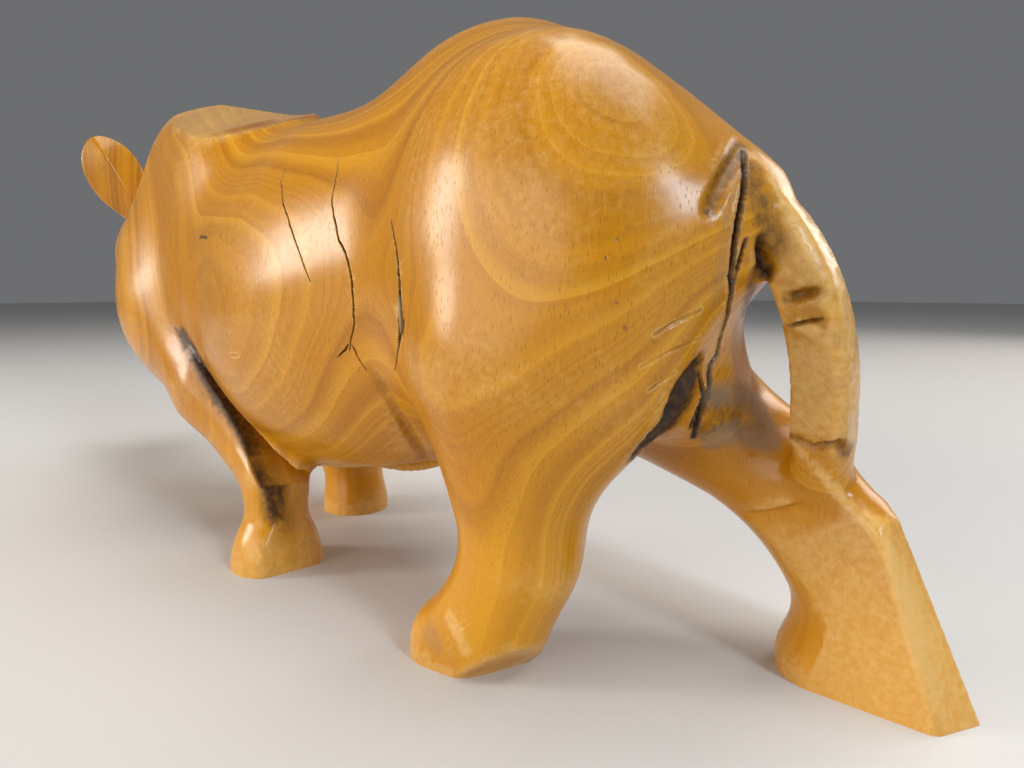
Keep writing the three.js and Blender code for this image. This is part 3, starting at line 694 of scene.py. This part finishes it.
# pale of rubbed wear and of painted highlights
RUBBED_AND_LIT_PALE = (0.82, 0.55, 0.22, 1)
BEAD_DARK = (0.018, 0.008, 0.004, 1)
BEAD_STREAK = (0.035, 0.016, 0.008, 1)
PUTTY_DARK = (0.20, 0.14, 0.075, 1)
PUTTY_PALE = (0.40, 0.31, 0.19, 1)
MARK_KINDS = ("grime", "wear_and_highlight", "stain_and_shade", "dull_and_shade", "ruddy_shade")

# Painted light: the wood is drawn paler downwards between these heights, towards the feet
PALE_FROM_HEIGHT = 42.0
PALE_AT_HEIGHT = 8.0

# The layers bow behind a slanting line through the haunch, and ahead of the thigh
HAUNCH_LINE_X = -0.82
HAUNCH_LINE_Z = 0.57
HAUNCH_LINE_START = 10.0
FLANK_START = 30.0


def node(tree, kind, inputs=None, **settings):
    """A shader node with its settings, and its inputs linked or set."""
    made = tree.nodes.new(kind)
    for name, value in settings.items():
        setattr(made, name, value)
    for name, value in (inputs or {}).items():
        socket = made.inputs[name]
        if isinstance(value, bpy.types.NodeSocket):
            tree.links.new(value, socket)
        else:
            socket.default_value = value
    return made


def math_node(tree, operation, a, b=0.0, c=0.0, clamp=False):
    return node(tree, "ShaderNodeMath", {0: a, 1: b, 2: c}, operation=operation, use_clamp=clamp).outputs[0]


def vector_node(tree, operation, a, b):
    return node(tree, "ShaderNodeVectorMath", {0: a, 1: b}, operation=operation).outputs[0]


def noise(tree, scale, detail=2.0, roughness=0.5, vector=None, w=None):
    inputs = {"Scale": scale, "Detail": detail, "Roughness": roughness}
    dimensions = "3D"
    if vector is not None:
        inputs["Vector"] = vector
    if w is not None:
        inputs["W"] = w
        dimensions = "1D"
    return node(tree, "ShaderNodeTexNoise", inputs, noise_dimensions=dimensions)


def band(tree, value, start, end):
    """0 before the start, 1 past the end, smooth between. The end may be the lower one."""
    return node(tree, "ShaderNodeMapRange", {"Value": value, "From Min": start, "From Max": end},
                interpolation_type="SMOOTHSTEP").outputs[0]


def mix(tree, share, a, b):
    return node(tree, "ShaderNodeMix", {0: share, 6: a, 7: b}, data_type="RGBA").outputs[2]


def tint(tree, colour, towards, mask, strength):
    """The colour, taken towards another one where a mask says."""
    return mix(tree, math_node(tree, "MULTIPLY", mask, strength), colour, towards)


def new_group(name, inputs, outputs):
    """An empty shader node group with named sockets."""
    tree = bpy.data.node_groups.new(name, "ShaderNodeTree")
    for title, kind, default in inputs:
        socket = tree.interface.new_socket(title, in_out="INPUT", socket_type=kind)
        if default is not None:
            socket.default_value = default
    for title in outputs:
        tree.interface.new_socket(title, in_out="OUTPUT", socket_type="NodeSocketFloat")
    return tree, tree.nodes.new("NodeGroupInput").outputs, tree.nodes.new("NodeGroupOutput").inputs


def growth_rings():
    """Layers of the block: upright sheets along its length, bowed behind and ahead, with thin pale lines."""
    tree, given, out = new_group("growth_rings", [
        ("Point", "NodeSocketVector", None),
        ("Haunch Bow", "NodeSocketFloat", 0.0175),
        ("Shoulder Bow", "NodeSocketFloat", 0.0015),
        ("Layer", "NodeSocketFloat", 1.4),
        ("Waviness", "NodeSocketFloat", 7.0),
    ], ["Bands", "Lines"])
    cloud = noise(tree, 0.018, 2, vector=given["Point"]).outputs[1]
    drift = vector_node(tree, "SUBTRACT", cloud, (0.5, 0.5, 0.5))
    wave = node(tree, "ShaderNodeVectorMath", {0: drift, "Scale": given["Waviness"]},
                operation="SCALE").outputs[0]
    place = vector_node(tree, "ADD", given["Point"], wave)
    x, y, z = node(tree, "ShaderNodeSeparateXYZ", {0: place}).outputs
    rise = math_node(tree, "MULTIPLY_ADD", z, HAUNCH_LINE_Z, -HAUNCH_LINE_START)
    behind = math_node(tree, "MULTIPLY_ADD", x, HAUNCH_LINE_X, rise)
    behind = math_node(tree, "MAXIMUM", behind, 0.0)
    ahead = math_node(tree, "MAXIMUM", math_node(tree, "ADD", x, -FLANK_START), 0.0)
    depth = y
    for distance, bow in ((behind, "Haunch Bow"), (ahead, "Shoulder Bow")):
        square = math_node(tree, "MULTIPLY", distance, distance)
        depth = math_node(tree, "MULTIPLY_ADD", square, given[bow], depth)
    counted = math_node(tree, "DIVIDE", depth, given["Layer"])
    uneven = noise(tree, 0.3, 1, w=counted).outputs[0]
    counted = math_node(tree, "MULTIPLY_ADD", uneven, 3.0, counted)
    boldness = node(tree, "ShaderNodeTexWhiteNoise", {"W": math_node(tree, "FLOOR", counted)},
                    noise_dimensions="1D").outputs["Value"]
    fading = math_node(tree, "SUBTRACT", 1.0, math_node(tree, "FRACT", counted))
    line = math_node(tree, "MULTIPLY", math_node(tree, "POWER", fading, 2.2), boldness)
    bands = noise(tree, 0.4, 4, 0.6, w=counted).outputs[0]
    tree.links.new(bands, out["Bands"])
    tree.links.new(line, out["Lines"])
    return tree


def pores():
    """Vessels cut along or across: short dashes up the sides, dots on top, with fine fibre streaks."""
    tree, given, out = new_group("pores", [
        ("Point", "NodeSocketVector", None),
        ("Across", "NodeSocketFloat", 0.34),
        ("Along", "NodeSocketFloat", 1.4),
    ], ["Pores", "Fibres"])
    size = node(tree, "ShaderNodeCombineXYZ",
                {0: given["Across"], 1: given["Across"], 2: given["Along"]}).outputs[0]
    scaled = vector_node(tree, "DIVIDE", given["Point"], size)
    cells = node(tree, "ShaderNodeTexVoronoi", {"Vector": scaled, "Scale": 1.0})
    chance = node(tree, "ShaderNodeSeparateColor", {0: cells.outputs["Color"]}).outputs[0]
    open_cells = band(tree, chance, 0.2, 0.7)
    spots = band(tree, cells.outputs["Distance"], 0.4, 0.12)
    streaks = noise(tree, 0.7, 4, 0.65, vector=scaled)
    tree.links.new(math_node(tree, "MULTIPLY", spots, open_cells), out["Pores"])
    tree.links.new(streaks.outputs[0], out["Fibres"])
    return tree


def handling():
    """Dirt, rubbed wear with painted highlights, stain with painted shade, dull wood with painted shade, and
    a redder painted shade, from the piece's own attributes, broken up.
    """
    tree, given, out = new_group("handling", [("Point", "NodeSocketVector", None)], MARK_KINDS)
    speckle = noise(tree, 0.9, 4, 0.6, vector=given["Point"]).outputs[0]
    for kind in MARK_KINDS:
        amount = node(tree, "ShaderNodeAttribute", attribute_name=kind).outputs["Fac"]
        broken = math_node(tree, "MULTIPLY_ADD", math_node(tree, "SUBTRACT", speckle, 0.5), 0.8, amount)
        shown = math_node(tree, "MULTIPLY", band(tree, broken, 0.0, 1.0), band(tree, amount, 0.0, 0.15))
        tree.links.new(shown, out[kind])
    return tree


def grouped(tree, group, **inputs):
    return node(tree, "ShaderNodeGroup", inputs, node_tree=group).outputs


def point_in_mm(tree):
    """Object coordinates in millimetres from the root of the tail."""
    place = node(tree, "ShaderNodeTexCoord").outputs["Object"]
    return node(tree, "ShaderNodeMapping", {
        "Vector": place, "Scale": (1 / MM,) * 3, "Location": -ROOT / MM}).outputs[0]


def new_material(name):
    material = bpy.data.materials.new(name)
    material.use_nodes = True
    tree = material.node_tree
    return material, tree, tree.nodes["Principled BSDF"]


def wood_colour(tree, point, layer, grain, marks):
    """Rings, broad tones, fibres and pores of the honey-coloured wood, painted light paler towards the feet,
    and then painted shade, painted highlights, wear, stain and dirt.
    """
    tone = noise(tree, 0.02, 2, vector=point).outputs[0]
    height = node(tree, "ShaderNodeSeparateXYZ", {0: point}).outputs["Z"]
    colour = mix(tree, band(tree, layer["Bands"], 0.25, 0.7), HONEY_DARK, HONEY_MID)
    colour = tint(tree, colour, HONEY_PALE, layer["Lines"], 0.5)
    colour = tint(tree, colour, HONEY_RED, band(tree, tone, 0.45, 0.75), 0.35)
    colour = tint(tree, colour, HONEY_PALE, band(tree, grain["Fibres"], 0.45, 0.8), 0.22)
    colour = tint(tree, colour, PORE_BROWN, grain["Pores"], 0.5)
    # painted light: paler towards the feet
    colour = tint(tree, colour, HONEY_FOOT_LIT, band(tree, height, PALE_FROM_HEIGHT, PALE_AT_HEIGHT), 0.5)
    # painted shade on the cut across the withers
    colour = tint(tree, colour, RUDDY_SHADE, marks["ruddy_shade"], 0.85)
    # painted shade on the tail's duller inner facet
    colour = tint(tree, colour, OLIVE_DULL_SHADE, marks["dull_and_shade"], 0.75)
    # rubbed wear, and painted highlights on the tail and the right hind leg
    colour = tint(tree, colour, RUBBED_AND_LIT_PALE, marks["wear_and_highlight"], 0.6)
    # stain and painted shade darken hollows, furrows, checks and marked faces
    colour = mix(tree, marks["stain_and_shade"], colour, STAIN_AND_SHADE_DARK)
    return tint(tree, colour, GRIME_GREY, marks["grime"], 0.7)


def wood_roughness(tree, grain, marks):
    """Waxed wood, duller in its pores, where it is dirty or unpolished, and where it is stained or painted
    with shade.
    """
    roughness = math_node(tree, "MULTIPLY_ADD", grain["Pores"], 0.15, 0.28)
    roughness = math_node(tree, "MULTIPLY_ADD", marks["grime"], 0.4, roughness)
    roughness = math_node(tree, "MULTIPLY_ADD", marks["dull_and_shade"], 0.25, roughness)
    return math_node(tree, "MULTIPLY_ADD", marks["stain_and_shade"], 0.35, roughness, clamp=True)


def honey_wood(rings, vessels, wear_and_highlight):
    material, tree, wood = new_material("honey_wood")
    point = point_in_mm(tree)
    layer = grouped(tree, rings, Point=point)
    grain = grouped(tree, vessels, Point=point)
    marks = grouped(tree, wear_and_highlight, Point=point)
    fibres = math_node(tree, "MULTIPLY", grain["Fibres"], 0.5)
    relief = math_node(tree, "MULTIPLY_ADD", grain["Pores"], -1.0, fibres)
    bump = node(tree, "ShaderNodeBump", {"Height": relief, "Strength": 0.3, "Distance": 0.04 * MM})
    tree.links.new(wood_colour(tree, point, layer, grain, marks), wood.inputs["Base Color"])
    tree.links.new(wood_roughness(tree, grain, marks), wood.inputs["Roughness"])
    tree.links.new(bump.outputs[0], wood.inputs["Normal"])
    wood.inputs["Specular IOR Level"].default_value = 0.32
    wood.inputs["Coat Weight"].default_value = 0.2
    wood.inputs["Coat Roughness"].default_value = 0.18
    return material


def dark_wood():
    material, tree, wood = new_material("dark_wood")
    streaks = noise(tree, 1.2, 3, vector=point_in_mm(tree)).outputs[0]
    tree.links.new(mix(tree, streaks, BEAD_DARK, BEAD_STREAK), wood.inputs["Base Color"])
    wood.inputs["Roughness"].default_value = 0.22
    return material


def putty():
    material, tree, paste = new_material("putty")
    grit = noise(tree, 3.5, 4, vector=point_in_mm(tree)).outputs[0]
    bump = node(tree, "ShaderNodeBump", {"Height": grit, "Strength": 0.5, "Distance": 0.1 * MM})
    tree.links.new(mix(tree, grit, PUTTY_DARK, PUTTY_PALE), paste.inputs["Base Color"])
    tree.links.new(bump.outputs[0], paste.inputs["Normal"])
    paste.inputs["Roughness"].default_value = 0.8
    return material


# Pieces

# Edges that turn by more than this keep their arris, by a share, when a small piece is rounded
ARRIS_TURN = math.radians(50)
BEAD_ARRIS_TURN = math.radians(60)
FILLER_ARRIS_TURN = math.radians(40)
ARRIS_KEPT = 0.7

# Where the wood stands proud of its neighbours by this much, in millimetres, it is drawn paler: rubbed wear,
# partly a painted highlight
PROUD_START = 0.012
PROUD_RANGE = 0.05
PROUD_WEAR_AND_HIGHLIGHT = 0.5

# Dirt around a check, and where a check is deep enough for painted shade inside it, in millimetres
CHECK_DIRT = 0.3
CHECK_DIRT_REACH = 0.7
CHECK_DIRT_DEPTH = 0.3
CHECK_SHADE_DEPTH = 0.12


def set_attribute(mesh, name, values):
    layer = mesh.attributes.new(name, "FLOAT", "POINT")
    layer.data.foreach_set("value", np.asarray(values, np.float32))


def finish_piece(piece, material, slot, *nodes):
    piece.data.materials.clear()
    piece.data.materials.append(material)
    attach(piece, BODY)
    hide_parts(*nodes)


def toe_scuffs(surface):
    """Fine scratches that fan out from the crest of the left hind toe."""
    strokes = []
    for i in range(SCUFF_COUNT):
        share = (i + random.uniform(0, 1)) / SCUFF_COUNT * (len(TOE_SCUFF) - 1)
        a, b = TOE_SCUFF[int(share)], TOE_SCUFF[min(int(share) + 1, len(TOE_SCUFF) - 1)]
        x = a[0] + (b[0] - a[0]) * (share % 1)
        y = a[1] + (b[1] - a[1]) * (share % 1)
        reach = random.uniform(*SCUFF_REACH) * random.choice((-1, 1))
        end = (x + reach, y + reach * random.uniform(*SCUFF_SLOPE) + random.uniform(*SCUFF_STRAY))
        if surface.under_pixel(end):
            strokes.append(Stroke([(x, y), end], half_width=0.28, depth=0.05, lip=0.012, wear_and_highlight=0.3))
    return strokes


def mark_wood(mesh, stroke_paths, check_paths, mark_paths):
    """Writes the finish and painted light of each vertex: dirt, polish with painted highlights, stain with
    painted shade, dull wood with painted shade, and a redder painted shade.
    """
    worn = Skin(mesh)
    amounts = {kind: np.zeros(len(worn.co)) for kind in MARK_KINDS}

    def raise_to(kind, picked, values):
        amounts[kind][picked] = np.maximum(amounts[kind][picked], values)

    # pale on proud edges: rubbed wear, partly a painted highlight
    amounts["wear_and_highlight"] = np.clip((worn.curvature(2) - PROUD_START) / PROUD_RANGE, 0, 1) * PROUD_WEAR_AND_HIGHLIGHT
    for stroke, path in stroke_paths:
        picked, across, _ = worn.beside(path, stroke.half_width * 1.8, stroke.depth + 0.6)
        across = across / stroke.half_width
        # furrows darkened by painted shade, with some real stain
        raise_to("stain_and_shade", picked, stroke.stain_and_shade * np.clip(1.35 - across, 0, 1))
        raise_to("grime", picked, stroke.grime * np.clip(1 - abs(across - 1.1) / 0.5, 0, 1))
        raise_to("wear_and_highlight", picked, stroke.wear_and_highlight * np.clip(1 - abs(across - 1.0) / 0.6, 0, 1))
    for check, path in check_paths:
        picked, across, height = worn.beside(path, CHECK_DIRT_REACH, check.depth)
        # painted shade deep inside each check
        dark = (height < -CHECK_SHADE_DEPTH) & (across < check.width * 0.6 + 0.15)
        raise_to("stain_and_shade", picked[dark], 1.0)
        fade = np.clip(1 - across / CHECK_DIRT_REACH, 0, 1)
        raise_to("grime", picked, CHECK_DIRT * fade * (height > -CHECK_DIRT_DEPTH))
    for mark, path in mark_paths:
        picked, distance, _ = worn.near(path, mark.reach)
        turned = worn.normal[picked] @ np.array(mark.facing)
        facing = np.clip(turned * 2 - 0.6, 0, 1) if any(mark.facing) else 1
        fade = np.clip((1 - distance / mark.reach) * 1.8, 0, 1)
        raise_to(mark.kind, picked, mark.amount * fade * facing)
    amounts["wear_and_highlight"] *= 1 - amounts["stain_and_shade"]
    for kind, values in amounts.items():
        set_attribute(mesh, kind, values)


def carve_body(material):
    """The body: broad furrows first, then the soles, a thinner mesh, and the fine cuts and marks."""
    piece, skin = body_mesh()
    surface = Surface(piece.data)
    coarse = [(stroke, surface.path(stroke.pixels, COARSE_STEP)) for stroke in COARSE_STROKES]
    fine_strokes = FINE_STROKES + toe_scuffs(surface)
    fine = [(stroke, surface.path(stroke.pixels, FINE_STEP)) for stroke in fine_strokes]
    checks = [(check, wandering(surface.path(check.pixels, FINE_STEP), check.wander)) for check in CHECKS]
    marks = [(mark, surface.path(mark.pixels, MARK_STEP)) for mark in MARKS]
    for stroke, path in coarse:
        skin.groove(path, stroke)
        skin.refresh()
    trim_soles(piece)
    fine_paths = [path for _, path in fine]
    check_paths = [path for _, path in checks]
    thin_out(piece, fine_paths + check_paths, KEPT_REACH)
    refine_near(piece, fine_paths, STROKE_FINE_REACH, STROKE_FINE_CUTS)
    refine_near(piece, check_paths, CHECK_FINE_REACH, CHECK_FINE_CUTS)
    skin = Skin(piece.data)
    for stroke, path in fine:
        skin.groove(path, stroke)
    skin.refresh()
    for check, path in checks:
        skin.split(path, check)
    skin.refresh()
    sharpen(piece.data, SHARP_TURN)
    mark_wood(piece.data, coarse + fine, checks, marks)
    finish_piece(piece, material, "honey_wood", "carved_body")


def smooth_copy(node_name, piece_name, arris_turn, material, slot):
    """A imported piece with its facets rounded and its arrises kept."""
    shape, mesh = welded_copy(node_name)
    crease = shape.edges.layers.float.new("crease_edge")
    for edge in shape.edges:
        if edge.calc_face_angle(0) > arris_turn:
            edge[crease] = ARRIS_KEPT
    pair_triangles(shape, 30, 50)
    write_shape(shape, mesh)
    piece = new_piece(piece_name, mesh)
    modify(piece, "SUBSURF", levels=3, render_levels=3)
    piece.data.shade_smooth()
    for kind in MARK_KINDS:
        set_attribute(piece.data, kind, np.zeros(len(piece.data.vertices)))
    finish_piece(piece, material, slot, node_name)


# Stage

FLOOR_COLOUR = (0.62, 0.61, 0.60, 1)
FLOOR_ROUGHNESS = 0.7
FLOOR_REACH = 3.0
WORLD_COLOUR = (0.96, 0.97, 1.0, 1)
WORLD_STRENGTH = 0.16
LIT_MIDDLE = Vector((40, 0, 55))


class Softbox(NamedTuple):
    """A soft light: direction from the figure's middle, distance and size in metres, watts and colour."""
    name: str
    direction: tuple
    distance: float
    size: tuple
    watts: float
    colour: tuple


SOFTBOXES = [
    Softbox("key_softbox", (0.66, 0.69, 0.29), 0.9, (0.2, 0.34), 3.7, (1.0, 0.95, 0.86)),
    Softbox("side_softbox", (0.12, 0.96, 0.22), 0.9, (0.8, 0.5), 3.7, (1.0, 0.94, 0.84)),
    Softbox("top_softbox", (-0.15, -0.1, 0.98), 0.8, (0.7, 0.6), 5.6, (1.0, 0.97, 0.92)),
    Softbox("cool_softbox", (-0.87, 0.18, 0.42), 0.8, (0.12, 0.26), 2.8, (0.70, 0.86, 1.0)),
    Softbox("rim_softbox", (-0.25, -0.88, 0.4), 0.9, (0.4, 0.4), 2.0, (1.0, 0.9, 0.84)),
]


def add_floor():
    mesh = bpy.data.meshes.new("floor")
    reach = FLOOR_REACH
    corners = [(-reach, -reach, 0), (reach, -reach, 0), (reach, reach, 0), (-reach, reach, 0)]
    mesh.from_pydata(corners, [], [(0, 1, 2, 3)])
    floor = new_piece("floor", mesh)
    material, _, surface = new_material("pale_floor")
    surface.inputs["Base Color"].default_value = FLOOR_COLOUR
    surface.inputs["Roughness"].default_value = FLOOR_ROUGHNESS
    mesh.materials.append(material)


def add_softbox(box, target):
    light = bpy.data.lights.new(box.name, "AREA")
    light.shape = "RECTANGLE"
    light.size, light.size_y = box.size
    light.energy = box.watts
    light.color = box.colour
    lamp = bpy.data.objects.new(box.name, light)
    lamp.location = target + Vector(box.direction).normalized() * box.distance
    lamp.rotation_euler = (target - lamp.location).to_track_quat("-Z", "Y").to_euler()
    bpy.context.scene.collection.objects.link(lamp)


def add_light():
    world = bpy.data.worlds.new("studio")
    bpy.context.scene.world = world
    world.use_nodes = True
    sky = world.node_tree.nodes["Background"]
    sky.inputs["Color"].default_value = WORLD_COLOUR
    sky.inputs["Strength"].default_value = WORLD_STRENGTH
    for box in SOFTBOXES:
        add_softbox(box, ROOT + LIT_MIDDLE * MM)


def main():
    bpy.context.scene.view_settings.view_transform = "Standard"
    add_camera()
    wood = honey_wood(growth_rings(), pores(), handling())
    carve_body(wood)
    for side in ("left", "right"):
        smooth_copy(f"{side}_ear", f"{side}_ear_wood", ARRIS_TURN, wood, "honey_wood")
    for place in ("front", "rear"):
        smooth_copy(f"{place}_horn", f"{place}_horn_wood", ARRIS_TURN, wood, "honey_wood")
    bead = dark_wood()
    for side in ("left", "right"):
        smooth_copy(f"{side}_eye", f"{side}_eye_bead", BEAD_ARRIS_TURN, bead, "dark_wood")
    smooth_copy("check_filler", "check_filler_putty", FILLER_ARRIS_TURN, putty(), "putty")
    add_floor()
    add_light()


main()
